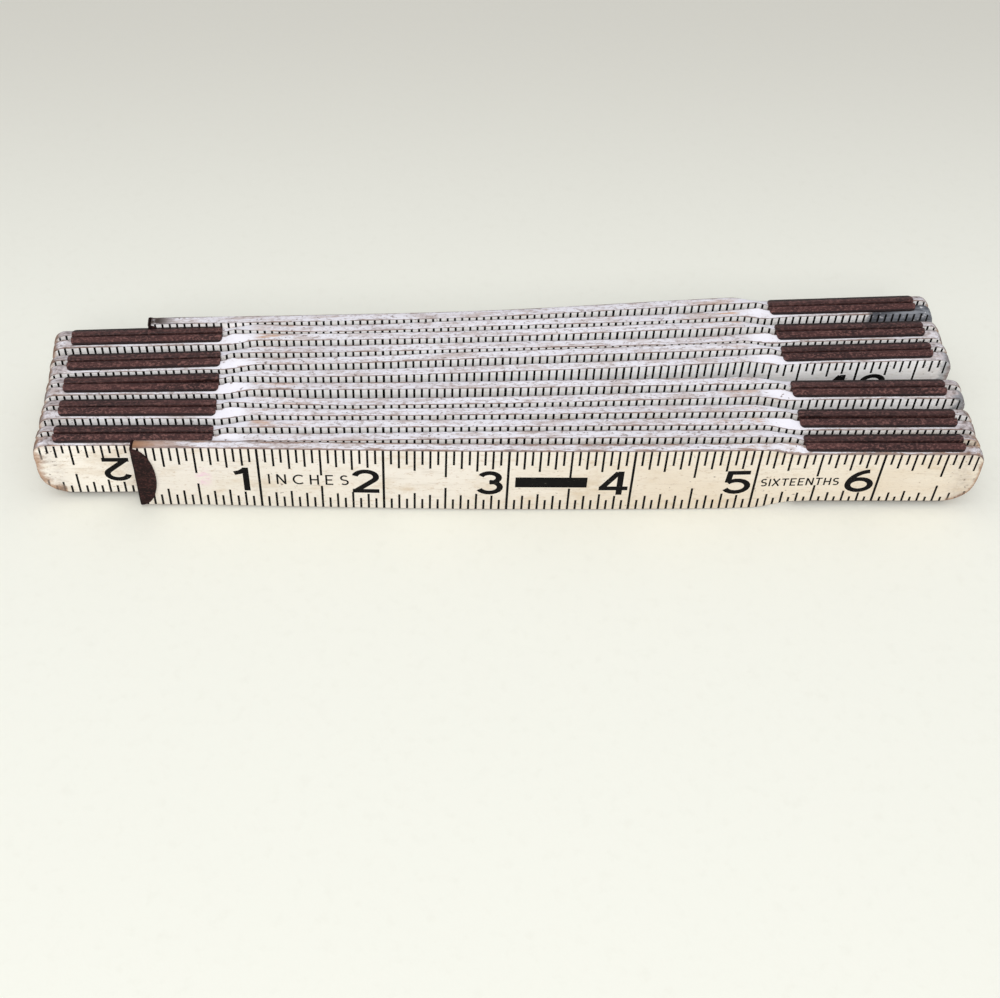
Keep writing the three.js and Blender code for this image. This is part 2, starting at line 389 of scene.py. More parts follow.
def section_place(number):
    """The local frame of a section, from the flat back of its CAD node and the rivet at its end, or
    for the last section the rivet at its start."""
    back = Vector()
    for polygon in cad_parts[f"section_{number:02d}"].data.polygons:
        if polygon.normal.y > 0.9:
            back += polygon.normal * polygon.area
    back.normalize()
    along = Vector((back.y, -back.x, 0))
    turn = Matrix((along, back, Vector((0, 0, 1)))).transposed()
    if number == 1:
        turn = turn @ Matrix.Rotation(math.radians(FIRST_SECTION_LIFT_DEGREES), 3, "Y")
    if number < SECTION_COUNT:
        joint, x, y = number, end_pivot(number), SECTION_THICKNESS + joint_offset(number)
    else:
        joint, x, y = number - 1, start_pivot(number), -joint_offset(number - 1)
    place = turn.to_4x4()
    place.translation = joint_centre(joint) - turn @ Vector((x, y, 0)) * MM
    return place


def joint_play(joint):
    return LOOSE_PLAY.get(joint, USUAL_PLAY)


def joint_offset(joint):
    """From a section's face to the middle of the joint on that face."""
    return FIT_GAP + SHEET + joint_play(joint) / 2


def warp_at(number, x, z=0):
    """How far a section has bent towards the front, at a distance from its left pivot. The bottom of
    the first section has bent a little further than its top."""
    bend = END_BEND.get(number, 0)
    start = 0 if bend else WARP_ENDS[0]
    knots = [(start - 1, bend), (start, bend), *zip(WARP_PLACES, WARP[number - 1])]
    knots += [(WARP_ENDS[1], 0), (WARP_ENDS[1] + 1, 0)]
    x = min(WARP_ENDS[1], max(start, x))
    i = max(k for k in range(1, len(knots) - 2) if knots[k][0] <= x)
    (x0, v0), (x1, v1), (x2, v2), (x3, v3) = knots[i - 1 : i + 3]
    span = x2 - x1
    t = (x - x1) / span
    slope_1 = (v2 - v0) / (x2 - x0) * span
    slope_2 = (v3 - v1) / (x3 - x1) * span
    value = v1 * (2 * t**3 - 3 * t**2 + 1) + v2 * (3 * t**2 - 2 * t**3)
    value += slope_1 * (t**3 - 2 * t**2 + t) + slope_2 * (t**3 - t**2)
    lean = FIRST_SECTION_LEAN * z if number == 1 else 0
    return value * (1 - lean)


# -------- wooden sections


def smooth(t):
    """A step from 0 to 1 that starts and ends level."""
    t = min(1, max(0, t))
    return t * t * (3 - 2 * t)


def narrowed(distance):
    """Half a section's width at a distance from a pivot, where the wood narrows to pass a plate."""
    rise = smooth((distance - TAPER_END) / (TAPER_START - TAPER_END))
    return JOINT_WIDTH / 2 + (SECTION_WIDTH - JOINT_WIDTH) / 2 * rise


def joint_side(distance):
    """Half a section's width on the side of a joint: just under the plate, then nearly full."""
    under = PLATE_HALF_HEIGHT - SHEET - FIT_GAP
    return under + (SECTION_WIDTH / 2 - under) * smooth((distance - PLATE_LENGTH / 2) / PAST_PLATE)


def sloped(number, x, y, z):
    """The height of a point of a section, once its long edges slope down from each joint's side."""
    through = y / SECTION_THICKNESS
    for pivot, part, jointed in (
        (end_pivot(number), through, number < SECTION_COUNT),
        (start_pivot(number), 1 - through, number > 1),
    ):
        distance = x if pivot == 0 else PIVOT_SPACING - x
        if jointed and distance < PIVOT_SPACING / 2:
            half = narrowed(distance)
            z *= 1 + part * (joint_side(distance) - half) / half
    return z


class Section:
    """Outline and print of one wooden section."""

    def __init__(self, number):
        self.number = number
        self.free = is_free_ended(number)
        self.left = CAP_SHEET + FIT_GAP if self.free else -END_OVERHANG
        self.right = PIVOT_SPACING + END_OVERHANG
        low = math.ceil((self.left + PRINT_MARGIN) / SIXTEENTH)
        high = math.floor((self.right - PRINT_MARGIN) / SIXTEENTH)
        self.sixteenths = range(low, high + 1)

    def half_height(self, x, corner):
        half = narrowed(PIVOT_SPACING - x)
        if not self.free:
            half = min(half, narrowed(x))
        left_corner = SQUARE_CORNER if self.free else corner
        for distance, radius in ((x - self.left, left_corner), (self.right - x, corner)):
            if distance < radius:
                inside = radius - max(0, distance)
                half -= radius - math.sqrt(max(0, radius**2 - inside**2))
        return half

    def stations(self):
        """Places along the section where its long edges have points, with the sixteenth that each
        mark's side belongs to."""
        found = []
        for n in self.sixteenths:
            width = MARK_WIDTH if n % 16 else INCH_LINE_WIDTH
            found += [(n * SIXTEENTH - width / 2, n), (n * SIXTEENTH + width / 2, n)]
        corners = [(UPPER_CORNER, UPPER_CORNER), (LOWER_CORNER, LOWER_CORNER)]
        if self.free:
            corners = [(SQUARE_CORNER, UPPER_CORNER), (SQUARE_CORNER, LOWER_CORNER)]
        for left_corner, right_corner in corners:
            for i in range(TIP_STEPS + 1):
                turned = 1 - math.cos(math.pi / 2 * i / TIP_STEPS)
                for x in (self.left + left_corner * turned, self.right - right_corner * turned):
                    if all(abs(x - other) > LEAST_STATION_GAP for other, _ in found):
                        found.append((x, None))
        return sorted(found, key=lambda item: item[0])

    def mark_at(self, n, half):
        """The sixteenth printed at a point of the edge, or None where the end's rounding leaves too
        little of its mark."""
        if n is None or n % 16 == 0:
            return n
        size = mark_size(n)
        length = min(UPPER_MARKS[size], LOWER_MARKS[size]) - (SECTION_WIDTH / 2 - half)
        return n if length > SHORTEST_MARK else None

    def outline(self):
        """Points round the section, counter-clockwise from the lower left, each with the number of
        its mark, or None."""
        lower, upper = [], []
        for x, n in self.stations():
            for side, corner, edge in ((-1, LOWER_CORNER, lower), (1, UPPER_CORNER, upper)):
                half = self.half_height(x, corner)
                edge.append((x, side * half, self.mark_at(n, half)))
        upper.reverse()
        return lower + self.tip(lower[-1], upper[0]) + upper + self.tip(upper[-1], lower[0])

    @staticmethod
    def tip(a, b):
        """Points between the two long edges, at a tip."""
        steps = TIP_SIDE_STEPS
        return [
            (a[0] + (b[0] - a[0]) * i / steps, a[1] + (b[1] - a[1]) * i / steps, None)
            for i in range(1, steps)
        ]

    def print_shift(self, is_front, x):
        """How far the print of a face stands above its proper place."""
        shifts = [PRINT_WANDER * wander(self.number * 5.1, y, 0, 1, is_front) for y in (3, 8)]
        start, end = FIRST_PRINT_SHIFT if self.number == 1 and is_front else shifts
        return start + (end - start) * x / PIVOT_SPACING

    def marks(self, inner, is_front):
        """The print of one face as polygons. inner is the outline of the face's flat part."""
        odd = self.number % 2 == 1
        direction = 1 if odd == is_front else -1
        up = direction if is_front else -direction
        by_mark = {}
        for x, z, n in inner:
            if n is not None:
                by_mark.setdefault((n, z > 0), []).append((x, z))
        polygons = []
        half_width = SECTION_WIDTH / 2
        for (n, is_top), corners in by_mark.items():
            if len(corners) != 2:
                continue
            (x0, z0), (x1, z1) = sorted(corners)
            if n % 16 == 0:
                if is_top:
                    (x2, z2), (x3, z3) = sorted(by_mark[(n, False)])
                    polygons.append([(x2, z2), (x3, z3), (x1, z1), (x0, z0)])
                continue
            lengths = UPPER_MARKS if is_top == (up > 0) else LOWER_MARKS
            side = 1 if is_top else -1
            drop = MARK_DROP * (half_width - self.half_height(x0, 0))
            end = side * (half_width - drop - lengths[mark_size(n)]) + self.print_shift(is_front, x0)
            if (z0 - end) * side > 0.1:
                polygons.append([(x0, z0), (x0, end), (x1, end), (x1, z1)])
        return polygons + self.lettering(is_front, direction, up)

    def lettering(self, is_front, direction, up):
        """The numerals of a face, and the words and the bar of the first one."""
        number = self.number
        first = 6 * (number - 1) if is_front else 6 * (SECTION_COUNT - number)
        start = 0 if direction > 0 else PIVOT_SPACING
        placed = []
        for i in range(1, 7):
            for polygon in number_polygons(first + i):
                placed.append([(p.x + i * INCH, p.y) for p in polygon])
        if number == 1 and is_front:
            for text, left, width, middle, size in WORDS:
                placed += word_polygons(text, left * INCH, width * INCH, middle, size)
            low, high = (end * INCH for end in BAR_ENDS)
            base, top = BAR_HEIGHTS
            placed.append([(low, base), (high, base), (high, top), (low, top)])
        turned = []
        for polygon in placed:
            turned.append([(start + direction * x, up * z) for x, z in map(tuple, polygon)])
        return [[(x, z + self.print_shift(is_front, x)) for x, z in polygon] for polygon in turned]


def mark_size(n):
    """The unit of the mark at a number of sixteenths: 8 for a half inch down to 1."""
    return next(size for size in (8, 4, 2, 1) if n % size == 0)


def section_mesh(number):
    section = Section(number)
    outline = section.outline()
    count = len(outline)
    seed = number * 1.37
    shape = Shape()
    normals = []
    for i in range(count):
        before, after = outline[i - 1], outline[(i + 1) % count]
        tangent = Vector((after[0] - before[0], after[1] - before[1])).normalized()
        normals.append(Vector((tangent.y, -tangent.x)))

    def inset(i, amount):
        x, z, n = outline[i]
        end = min(x - section.left, section.right - x)
        rough = 0.02 + ROUGHNESS * (wander(x, 0, z, 3, seed) + wander(x, 0, z, 0.9, seed))
        if end < TIP_ROUGH_REACH:
            rough += (1 - end / TIP_ROUGH_REACH) * TIP_ROUGHNESS * (1 + wander(x, 9, z, 1.4, seed))
        amount += max(0, rough)
        return x - normals[i].x * amount, z - normals[i].y * amount, n

    # Each row runs round the section: inset, distance through it, edge value, wear value
    turned = 1 - math.sin(math.pi / 4)
    rows = [
        (ARRIS + CROWN, 0, 0, 0),
        (ARRIS * turned + CROWN, ARRIS * turned, 0.5, 1),
        (CROWN, ARRIS, 1, 0.8),
        (CROWN / 2, ARRIS + WORN_BAND, 1, 0.45),
        (0, SECTION_THICKNESS / 2, 1, 0),
    ]
    rows += [(amount, SECTION_THICKNESS - y, edge, worn) for amount, y, edge, worn in rows[-2::-1]]
    ids, inner = [], None
    for amount, y, edge, worn in rows:
        ringed = [inset(i, amount) for i in range(count)]
        inner = inner or ringed
        row = []
        for (x, z, _), normal in zip(ringed, normals):
            row.append(shape.point(x, y, z, edge, worn, edge * min(1, max(0, abs(normal.x) * 2 - 0.8))))
        ids.append(row)
    printed_rows = {0, 1, len(rows) - 2, len(rows) - 3}
    for r in range(len(rows) - 1):
        for i in range(count):
            j = (i + 1) % count
            n = outline[i][2]
            ink = 1.0 if r in printed_rows and n is not None and n == outline[j][2] else 0.0
            shape.face([ids[r][i], ids[r][j], ids[r + 1][j], ids[r + 1][i]], ink)

    flat_outline = [(x, z) for x, z, _ in inner]
    for is_front, y in ((True, 0), (False, SECTION_THICKNESS)):
        recessed = number > 1 if is_front else number < SECTION_COUNT
        pivot = start_pivot(number) if is_front else end_pivot(number)
        hole = arc(pivot, 0, RECESS_RADIUS, RECESS_RADIUS, 0, 360, RECESS_STEPS)[:-1]
        holes = [hole] if recessed else []
        points, triangles, inked = cut_flat(flat_outline, section.marks(inner, is_front), holes)
        start = len(shape.points)
        for p in points:
            shape.point(p.x, y, p.y)
        for triangle, ink in zip(triangles, inked):
            shape.face([start + i for i in triangle], 1.0 if ink else 0.0)
        if recessed:
            floor_y = y + (RECESS_DEPTH if is_front else -RECESS_DEPTH)
            rim = [shape.point(x, y, z) for x, z in hole]
            floor = [shape.point(x, floor_y, z) for x, z in hole]
            shape.grid([rim, floor], closed=True)
            shape.face(floor)

    shape.points = [(x, y - warp_at(number, x, z), sloped(number, x, y, z)) for x, y, z in shape.points]
    return make_mesh(shape, f"wood_{number:02d}", WELD, WOOD_SHARP_DEGREES)


# -------- sheet metal


def folded_sheet(name, outline, holes, creases, fold, thickness, seed, dents):
    """Cuts a flat pattern, folds it, and gives it a thickness. fold(s, t, depth) places a point of the
    pattern at a depth below the outer surface, and says how much of a bend is there and how near the
    sheet's lips it is, for the painted shade that the finish lays at the bends and lips."""
    points, triangles, _ = cut_flat(outline, (), holes, creases)
    shape = Shape()
    layers = []
    for depth in (0, thickness):
        layer = []
        for p in points:
            uneven = wander(p.x, p.y, 0, 2.6, seed) + 0.5 * wander(p.x, p.y, 5, 1.1, seed)
            place, bend, lip_shade = fold(p.x, p.y, depth + dents * max(0, uneven))
            layer.append(shape.point(*place, edge=bend, end=lip_shade))
        layers.append(layer)
    outer, inner = layers
    directed = set()
    for a, b, c in triangles:
        shape.face([outer[a], outer[b], outer[c]])
        shape.face([inner[c], inner[b], inner[a]])
        directed |= {(a, b), (b, c), (c, a)}
    for a, b in directed:
        if (b, a) not in directed:
            shape.face([outer[b], outer[a], inner[a], inner[b]])
            for i in (outer[a], outer[b]):
                shape.values["worn"][i] = 1.0
    return make_mesh(shape, name, SHEET_WELD, METAL_SHARP_DEGREES)


def circle(radius):
    return arc(0, 0, radius, radius, 0, 360, 32)


PLATE_BEND = 0.55
PLATE_BEND_STEPS = 5
PLATE_CORNER = 0.95
BOSS_RADIUS = 5.3
BOSS_WIDTH = 0.9
BOSS_HEIGHT = 0.11
PLATE_STEPS = 14
PLATE_DENTS = 0.05
# Widths of the painted shade at the lips of the back and front plates
BACK_LIP_SHADE = 0.3
FRONT_LIP_SHADE = 0.85
FRONT_PLATE_SEED = 20


def plate_mesh(name, seed, lip_shade_width):
    """A joint plate: a channel with its web behind the wood and a flange over each of its edges. Its
    pattern runs across the wood in s and along it in t. Its lips carry painted shade over a width."""
    flat = PLATE_HALF_HEIGHT - PLATE_BEND
    curved = PLATE_BEND * math.pi / 2
    flange = FLANGE_REACH + SHEET - PLATE_BEND
    far = flat + curved + flange

    def fold(s, t, depth):
        u = abs(s)
        side = 1 if s > 0 else -1
        if u <= flat:
            radius = math.hypot(s, t)
            raised = max(0, 1 - abs(radius - BOSS_RADIUS) / BOSS_WIDTH)
            notch = 0.55 + 0.45 * math.cos(4 * math.atan2(t, s)) ** 2
            return (t, SHEET - depth + BOSS_HEIGHT * raised * notch, s), raised, 0.0
        if u <= flat + curved:
            a = (u - flat) / PLATE_BEND
            radius = PLATE_BEND - depth
            y = SHEET - PLATE_BEND + radius * math.cos(a)
            return (t, y, side * (flat + radius * math.sin(a))), math.sin(2 * a), 0.0
        along = (u - flat - curved) / flange
        height = PLATE_HALF_HEIGHT - FLANGE_DROP * along - depth
        # How far into the painted shade at the plate's lips this point lies
        lip_shade = max(0, 1 - (1 - along) * flange / lip_shade_width)
        return (t, SHEET - PLATE_BEND - along * flange, side * height), 0.0, lip_shade

    end = PLATE_LENGTH / 2
    corner = PLATE_CORNER
    outline = []
    for start, cs, ct in ((0, 1, 1), (90, -1, 1), (180, -1, -1), (270, 1, -1)):
        outline += arc(cs * (far - corner), ct * (end - corner), corner, corner, start, start + 90, 6)
    lines = [flat + curved * i / PLATE_BEND_STEPS for i in range(PLATE_BEND_STEPS + 1)]
    lines += [flat + curved + flange * part for part in (0.2, 0.4, 0.6, 0.75, 0.9)]
    creases = [[(side * s, -end), (side * s, end)] for s in lines for side in (1, -1)]
    for i in range(1, PLATE_STEPS):
        t = -end + 2 * end * i / PLATE_STEPS
        for side in (1, -1):
            creases.append([(side * flat, t), (side * far, t)])
    creases += [circle(BOSS_RADIUS + BOSS_WIDTH * part) for part in (-1, -0.5, 0, 0.5, 1)]
    bore = circle(RIVET_BORE)[:-1]
    return folded_sheet(name, outline, [bore], creases, fold, SHEET, seed, PLATE_DENTS)


CAP_BEND = 0.45
CAP_NOSE_STEPS = 24
CAP_DENTS = 0.09


def cap_mesh(name, seed):
    """The clip on a free end: a round-nosed flap on each face, joined by a strip over the end grain.
    Its pattern runs round the wood in s and up it in t."""
    skin = FIT_GAP + CAP_SHEET
    middle = SECTION_THICKNESS / 2
    flat = middle + skin - CAP_BEND
    curved = CAP_BEND * math.pi / 2
    flap = CAP_REACH - CAP_BEND
    half = CAP_HEIGHT / 2

    def fold(s, t, depth):
        u = abs(s)
        side = 1 if s > 0 else -1
        if u <= flat:
            return (depth, middle + s, t), 0.0, 0.0
        if u <= flat + curved:
            a = (u - flat) / CAP_BEND
            radius = CAP_BEND - depth
            y = middle + side * (flat + radius * math.sin(a))
            return (CAP_BEND - radius * math.cos(a), y, t), math.sin(2 * a), 0.0
        x = CAP_BEND + u - flat - curved
        return (x, middle + side * (middle + skin - depth), t), 0.0, 0.0

    outline = []
    for side in (1, -1):
        for i in range(CAP_NOSE_STEPS + 1):
            a = math.radians(-90 + 180 * i / CAP_NOSE_STEPS)
            x = max(CAP_BEND, CAP_SHEET + (CAP_REACH - CAP_SHEET) * math.cos(a))
            outline.append((side * (flat + curved + x - CAP_BEND), side * half * math.sin(a)))
    lines = [flat * i / 3 for i in range(1, 3)]
    lines += [flat + curved * i / 5 for i in range(6)]
    lines += [flat + curved + flap * part for part in (0.25, 0.5, 0.75)]
    creases = [[(side * s, -half), (side * s, half)] for s in lines for side in (1, -1)]
    far = flat + curved + flap
    creases += [[(-far, t), (far, t)] for t in range(-6, 7, 2)]
    return folded_sheet(name, outline, [], creases, fold, CAP_SHEET, seed, CAP_DENTS)


def lathe_mesh(name, profile, steps, lift=None):
    """Turns a closed profile of (radius, y) pairs round Y. lift(angle, radius) shifts points in Y."""
    shape = Shape()
    columns = []
    for i in range(steps):
        a = 2 * math.pi * i / steps
        column = []
        for radius, y in profile:
            raised = lift(a, radius) if lift else 0
            column.append(shape.point(radius * math.cos(a), y + raised, radius * math.sin(a)))
        columns.append(column)
    shape.grid(columns + [columns[0]])
    return make_mesh(shape, name, WELD, METAL_SHARP_DEGREES)


# Half of a rivet: from its shank out under the head and over it to the middle, radius and height
RIVET_HEAD = [(1.6, 0), (2.35, 0), (2.55, 0.08), (2.6, 0.2), (2.5, 0.34)]
RIVET_HEAD += [(2.2, 0.45), (1.5, 0.5), (0.8, 0.48), (0.4, 0.42), (0, 0.4)]
WASHER_INSIDE = 1.85
WASHER_WIDTH = 2.35
WASHER_WAVE = 0.06


def rivet_mesh(name, play):
    """Shank with a low domed head at each end, slightly hollowed where it was set."""
    under = play / 2 + SHEET + 0.1
    half = [(radius, under + rise) for radius, rise in RIVET_HEAD]
    profile = [(radius, -y) for radius, y in reversed(half)] + half
    return lathe_mesh(name, profile, 40)


def washer_mesh(name):
    """A thin spring washer with three shallow waves."""
    profile = [(1.85, -0.06), (1.95, -0.1), (4.05, -0.1), (4.2, -0.06), (4.2, 0.06)]
    profile += [(4.05, 0.1), (1.95, 0.1), (1.85, 0.06), (1.85, -0.06)]

    def wave(a, radius):
        return WASHER_WAVE * math.cos(3 * a) * (radius - WASHER_INSIDE) / WASHER_WIDTH

    return lathe_mesh(name, profile, 60, wave)


# -------- materials


class Nodes:
    """Short ways to build a node material. Vectors are the piece's own coordinates in millimetres."""

    def __init__(self, name):
        self.material = bpy.data.materials.new(name)
        self.material.use_nodes = True
        self.tree = self.material.node_tree
        self.shader = self.tree.nodes["Principled BSDF"]
        coordinates = self.tree.nodes.new("ShaderNodeTexCoord")
        self.place = self.scaled(coordinates.outputs["Object"], (1 / MM, 1 / MM, 1 / MM))
        self.own = self.tree.nodes.new("ShaderNodeObjectInfo").outputs["Random"]
        parts = self.tree.nodes.new("ShaderNodeSeparateXYZ")
        self.link(self.place, parts.inputs[0])
        self.x, self.y, self.z = parts.outputs

    def link(self, source, socket):
        if isinstance(source, bpy.types.NodeSocket):
            self.tree.links.new(source, socket)
        else:
            socket.default_value = source

    def scaled(self, vector, factors):
        node = self.tree.nodes.new("ShaderNodeVectorMath")
        node.operation = "MULTIPLY"
        self.link(vector, node.inputs[0])
        self.link(factors, node.inputs[1])
        return node.outputs[0]

    def math(self, operation, a, b=0.0):
        node = self.tree.nodes.new("ShaderNodeMath")
        node.operation = operation
        self.link(a, node.inputs[0])
        self.link(b, node.inputs[1])
        return node.outputs[0]

    def step(self, value, low, high, to_low=0.0, to_high=1.0):
        """A smooth step from to_low at low to to_high at high."""
        node = self.tree.nodes.new("ShaderNodeMapRange")
        node.interpolation_type = "SMOOTHSTEP"
        self.link(value, node.inputs["Value"])
        limits = {"From Min": low, "From Max": high, "To Min": to_low, "To Max": to_high}
        for socket, number in limits.items():
            node.inputs[socket].default_value = number
        return node.outputs["Result"]

    def noise(self, size, detail=3.0, stretch=(1, 1, 1), shift=0.0, roughness=0.55):
        """Noise with features of about `size` millimetres, drawn out along the axes by stretch."""
        scale = tuple(1 / (size * s) for s in stretch)
        spread = self.scaled(self.place, scale)
        node = self.tree.nodes.new("ShaderNodeTexNoise")
        node.noise_dimensions = "4D"
        self.link(spread, node.inputs["Vector"])
        self.link(self.math("ADD", self.math("MULTIPLY", self.own, 40.0), shift), node.inputs["W"])
        node.inputs["Scale"].default_value = 1.0
        node.inputs["Detail"].default_value = detail
        node.inputs["Roughness"].default_value = roughness
        return node.outputs["Fac"]

    def attribute(self, name):
        node = self.tree.nodes.new("ShaderNodeAttribute")
        node.attribute_name = name
        return node.outputs["Fac"]

    def mix(self, factor, a, b):
        node = self.tree.nodes.new("ShaderNodeMix")
        node.data_type = "RGBA"
        self.link(factor, node.inputs["Factor"])
        for value, socket in ((a, "A"), (b, "B")):
            target = next(s for s in node.inputs if s.name == socket and s.type == "RGBA")
            self.link(value if isinstance(value, bpy.types.NodeSocket) else rgb(*value), target)
        return next(s for s in node.outputs if s.type == "RGBA")

    def stain(self, colour, value, low, high, amount, over):
        """Lays another colour over a colour where a value is high."""
        return self.mix(self.step(value, low, high, 0.0, amount), colour, over)

    def chain(self, operation, values):
        result = values[0]
        for value in values[1:]:
            result = self.math(operation, result, value)
        return result

    def both(self, *values):
        return self.chain("MULTIPLY", values)

    def add(self, *values):
        return self.chain("ADD", values)

    def most(self, *values):
        return self.chain("MAXIMUM", values)

    def near(self, value, centre, reach):
        """1 at centre, falling to 0 at reach."""
        return self.step(self.math("ABSOLUTE", self.math("SUBTRACT", value, centre)), reach, 0.0)

    def finish(self, colour, roughness, height, depth):
        self.link(colour, self.shader.inputs["Base Color"])
        self.link(roughness, self.shader.inputs["Roughness"])
        bump = self.tree.nodes.new("ShaderNodeBump")
        bump.inputs["Distance"].default_value = depth * MM
        self.link(height, bump.inputs["Height"])
        self.tree.links.new(bump.outputs["Normal"], self.shader.inputs["Normal"])
        return self.material


def rgb(*colour):
    """An sRGB colour of 0 to 255 as the linear colour that a shader takes."""
    linear = []
    for value in colour:
        c = value / 255
        linear.append(c / 12.92 if c <= 0.04045 else ((c + 0.055) / 1.055) ** 2.4)
    return (*linear, 1.0)


# How strongly each section is rubbed where it comes back to its full width
RUBBED = {1: 0.5, 3: 0.7, 5: 0.5, 6: 0.5, 10: 0.9, 11: 0.9}
USUAL_RUB = 0.25

# How far grey-blue grime reaches in from the right end of a section, and how strong it is
GRIME = {5: (2.5, 0.8), 7: (1.5, 0.6), 11: (14, 1.0)}


class WoodNodes(Nodes):
    """What a section's finish is made from: its mesh's values, distances along it, and noises."""

    def __init__(self, number):
        super().__init__(f"painted_wood_{number:02d}")
        section = Section(number)
        self.number = number
        self.edge = self.attribute("edge")
        self.arris = self.attribute("worn")
        self.grain_end = self.attribute("end")
        self.ink = self.attribute("ink")
        self.to_right_tip = self.to_tip = self.math("SUBTRACT", section.right, self.x)
        self.inward = self.math("SUBTRACT", PIVOT_SPACING, self.x)
        if not section.free:
            to_left_tip = self.math("SUBTRACT", self.x, section.left)
            self.to_tip = self.math("MINIMUM", self.to_right_tip, to_left_tip)
            self.inward = self.math("MINIMUM", self.inward, self.x)
        self.patch = self.step(self.noise(14, 3, (3, 1, 1), 1), 0.35, 0.7)
        self.fine = self.noise(0.8, 5, (14, 1, 1), 2, 0.65)
        self.grain = self.noise(0.35, 3, (30, 1, 1), 3, 0.6)
        self.cloud = self.noise(4.5, 5, (2.2, 1, 1), 4, 0.65)
        self.spot = self.noise(0.75, 2, (1.3, 1, 1), 5, 0.5)
        self.blot = self.noise(2.4, 4, (1.8, 1, 1), 6, 0.7)
        self.ragged = self.math("SUBTRACT", self.blot, 0.5)
        self.smear = self.noise(1.5, 5, (5, 1, 1), 11, 0.7)
        self.grit = self.noise(0.55, 4, (2.2, 1, 1), 12, 0.75)
        # Specks of dirt, more of them along the edges and past the plates
        at_end = self.both(self.step(self.inward, -12, -17), 0.05)
        self.dirt = self.step(self.add(self.spot, self.both(self.edge, 0.04), at_end), 0.69, 0.75)


def face_paint(n):
    """Cream on the two faces that show, on the second only near its tips. Inside the stack the faces
    are whiter and cleaner: painted light that lifts the shade in the gaps between sections.
    """
    shows = n.number < 3
    # Whiter inside the stack: painted light lifting the shade in the gaps between sections
    face = n.mix(n.patch, (252, 251, 251), (245, 243, 241))
    stained = (222, 214, 205)
    if shows:
        cream_share, light, dull = 1.0, (238, 231, 222), (231, 223, 210)
        # The second section's tip gets a lighter cream: painted light against the shade of the first
        # section
        if n.number == 2:
            cream_share, light, dull = n.step(n.to_tip, 34, 22), (250, 244, 234), (245, 237, 225)
        tan = n.mix(n.patch, (236, 226, 210), (228, 213, 192))
        cream = n.mix(n.step(n.x, 20, PIVOT_SPACING), n.mix(n.patch, light, dull), tan)
        face = n.mix(cream_share, face, cream)
        stained = n.mix(cream_share, stained, (206, 184, 154))
    # Fainter stains inside the stack belong to the same painted lift of the gaps
    face = n.stain(face, n.cloud, 0.5, 0.74, 0.65 if shows else 0.45, stained)
    face = n.stain(face, n.fine, 0.52, 0.75, 0.4, (186, 172, 156))
    return n.stain(face, n.grit, 0.53, 0.68, 0.6 if shows else 0.25, (196, 174, 150))


def edge_paint(n):
    """Whiter than the faces and a little violet: painted light, the brightness and bluish tint that
    light from above gives the long edges. Brightest where the wood narrows at a joint.
    """
    # Violet-white rims: painted light from above on the long edges
    rim = n.mix(n.patch, (240, 238, 245), (226, 223, 230))
    rim = n.stain(rim, n.grain, 0.5, 0.72, 0.5, (178, 167, 167))
    rim = n.stain(rim, n.smear, 0.47, 0.64, 0.7, (188, 170, 162))
    rim = n.stain(rim, n.grit, 0.49, 0.63, 0.72, (160, 144, 140))
    fresh = n.both(n.step(n.inward, 25, 21), n.step(n.inward, 10, 14), n.step(n.cloud, 0.7, 0.52))
    return n.mix(n.both(fresh, 0.9), rim, (244, 242, 250))


def soiled(n, colour):
    """Paint rubbed where the wood comes back to its full width, darker grey-brown past the plates,
    partly dirt and partly painted shade in the crevices of the stacked ends, with specks.
    """
    shoulders = n.both(n.step(n.inward, 22.5, 25), n.step(n.inward, 40, 27))
    rubbed = n.both(shoulders, n.step(n.noise(1.0, 5, (8, 1, 1), 7, 0.7), 0.5, 0.6), n.edge)
    rubbed = n.both(rubbed, RUBBED.get(n.number, USUAL_RUB))
    colour = n.mix(rubbed, colour, n.mix(n.fine, (190, 134, 96), (219, 186, 160)))
    # Past the plates: grey-brown darkening, partly dirt and partly painted shade in the crevices of the
    # stacked ends
    past = n.both(n.step(n.inward, -13, -17), n.step(n.blot, 0.36, 0.58))
    past = n.both(past, n.step(n.edge, 0.0, 0.5, 0.25, 0.7))
    colour = n.mix(past, colour, n.mix(n.step(n.spot, 0.42, 0.6), (176, 162, 160), (108, 90, 84)))
    return n.mix(n.both(n.dirt, 0.7), colour, (112, 90, 80))


def bareness(n):
    """Where the paint has gone: round the tips, along the sharp edges and at the capped ends."""
    round_x = n.math("MAXIMUM", n.math("SUBTRACT", LOWER_CORNER, n.to_tip), 0.0)
    round_z = n.math("SUBTRACT", LOWER_CORNER - JOINT_WIDTH / 2, n.z)
    round_z = n.both(n.math("MAXIMUM", round_z, 0.0), n.step(n.to_tip, LOWER_CORNER, LOWER_CORNER - 1))
    reach = n.math("POWER", n.add(n.both(round_x, round_x), n.both(round_z, round_z)), 0.5)
    from_end = n.math("SUBTRACT", LOWER_CORNER, reach)
    tip_width = {1: 0.9, 2: 2.2}.get(n.number, 1.2)
    tip = n.step(n.add(n.both(from_end, -1 / tip_width), n.both(n.ragged, 3.0)), -1.25, -0.35)
    line = n.add(n.both(n.arris, 0.5), n.noise(1.1, 4, (6, 1, 1), 8, 0.7))
    line_start = 0.66 if n.number == 1 else 0.79
    bare = n.both(n.most(tip, n.step(line, line_start, line_start + 0.12)), 0.8)
    if n.number == 1:
        start = n.both(n.near(n.x, 0, 15), n.step(n.z, 5.5, 8.3), n.step(n.blot, 0.2, 0.42))
        bare = n.most(bare, n.both(start, n.edge))
    if n.number == SECTION_COUNT:
        start = n.both(n.step(n.x, 7, 2), n.step(n.blot, 0.25, 0.42))
        bare = n.most(bare, n.both(start, n.edge))
    return bare


